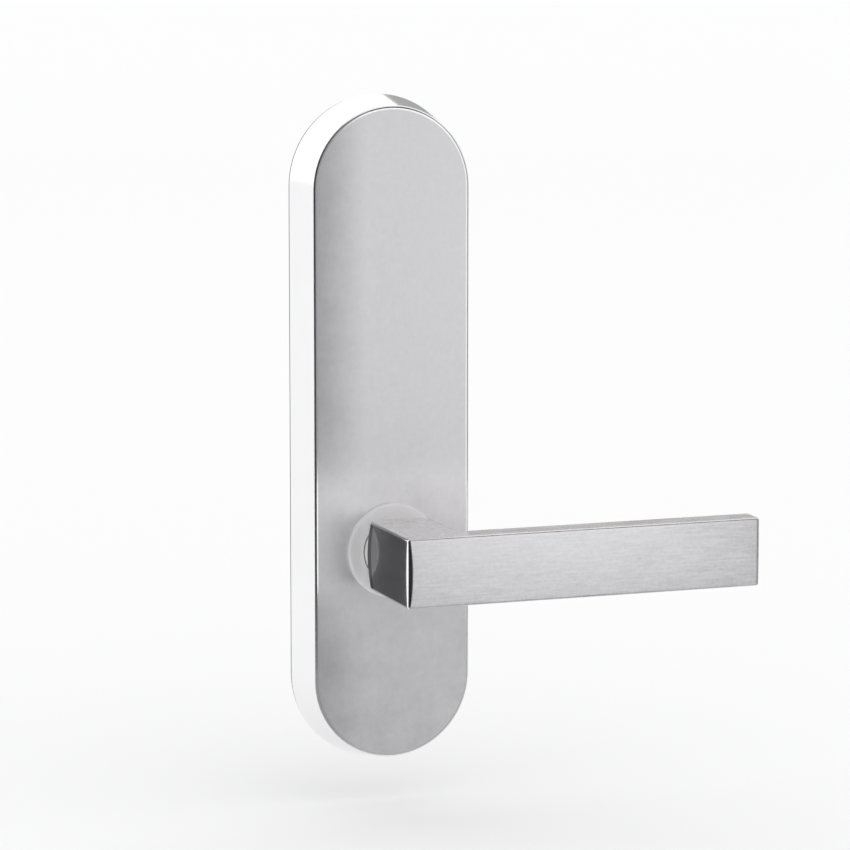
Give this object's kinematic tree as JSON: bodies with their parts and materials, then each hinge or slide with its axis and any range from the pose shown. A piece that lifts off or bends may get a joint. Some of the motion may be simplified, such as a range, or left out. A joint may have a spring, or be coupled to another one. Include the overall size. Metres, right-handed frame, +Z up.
{
  "type": "inside half of a keypad lever lock",
  "caption": "Lever handle on a long round-ended cover: the inside half of an electronic door lock, with a sprung lever, a battery tray and a control board.",
  "frame": {"origin": "where the lever's axis meets the door-side face of the gasket", "axes": "+Z up along the long cover, +X towards the tip of the lever's arm, -Y out of the door towards the hand"},
  "size_m": [0.1536, 0.1094, 0.2393],
  "materials": {
    "cover_steel": "satin stainless steel, upright grain on the face, polished side wall",
    "lever_steel": "satin stainless steel, grain along the arm, polished edges",
    "collar_steel": "turned stainless steel, fine rings",
    "zinc_steel": "zinc-plated steel",
    "screw_steel": "plain steel screws",
    "spring_steel": "oiled spring steel",
    "gasket_foam": "closed-cell black foam",
    "grommet_rubber": "soft black rubber",
    "nylon": "black nylon",
    "black_plastic": "black moulded plastic",
    "socket_plastic": "natural white plastic",
    "chip_plastic": "black epoxy",
    "board_laminate": "green solder mask on laminate",
    "contact_metal": "nickel-plated contact sheet",
    "cell_jacket": "plain grey cell jacket, bare metal nub"
  },
  "bodies": {
    "escutcheon": {"cover_shell": "cover_steel", "door_gasket": "gasket_foam", "mounting_plate": "zinc_steel", "lever_collar": "collar_steel", "lever_bush": "nylon", "cassette_cup": "zinc_steel", "cassette_lid": "zinc_steel", "cassette_screws": "screw_steel", "return_spring": "spring_steel", "top_hook": "zinc_steel", "cover_catch": "zinc_steel", "bottom_bracket": "zinc_steel", "cover_screw": "screw_steel", "battery_tray": "black_plastic", "tray_screws": "screw_steel", "battery_cell_1": "cell_jacket", "battery_cell_2": "cell_jacket", "battery_cell_3": "cell_jacket", "battery_cell_4": "cell_jacket", "contact_plates_upper": "contact_metal", "contact_plates_lower": "contact_metal", "control_board": "board_laminate", "board_screws": "screw_steel", "control_chip": "chip_plastic", "buzzer": "black_plastic", "cable_socket": "socket_plastic", "cable_grommet": "grommet_rubber"},
    "lever": {"lever_handle": "lever_steel", "square_spindle": "zinc_steel", "lever_set_screw": "screw_steel", "driver_cam": "zinc_steel", "retaining_ring": "spring_steel"}
  },
  "joints": [
    {"name": "lever_turn", "type": "hinge", "parent": "escutcheon", "child": "lever", "pos_m": [0, 0, 0], "axis": [0, 1, 0], "range_deg": [0, 45], "stiffness_Nm_per_rad": 1.2, "springref_deg": -28.65, "deforming": ["return_spring"]}
  ]
}
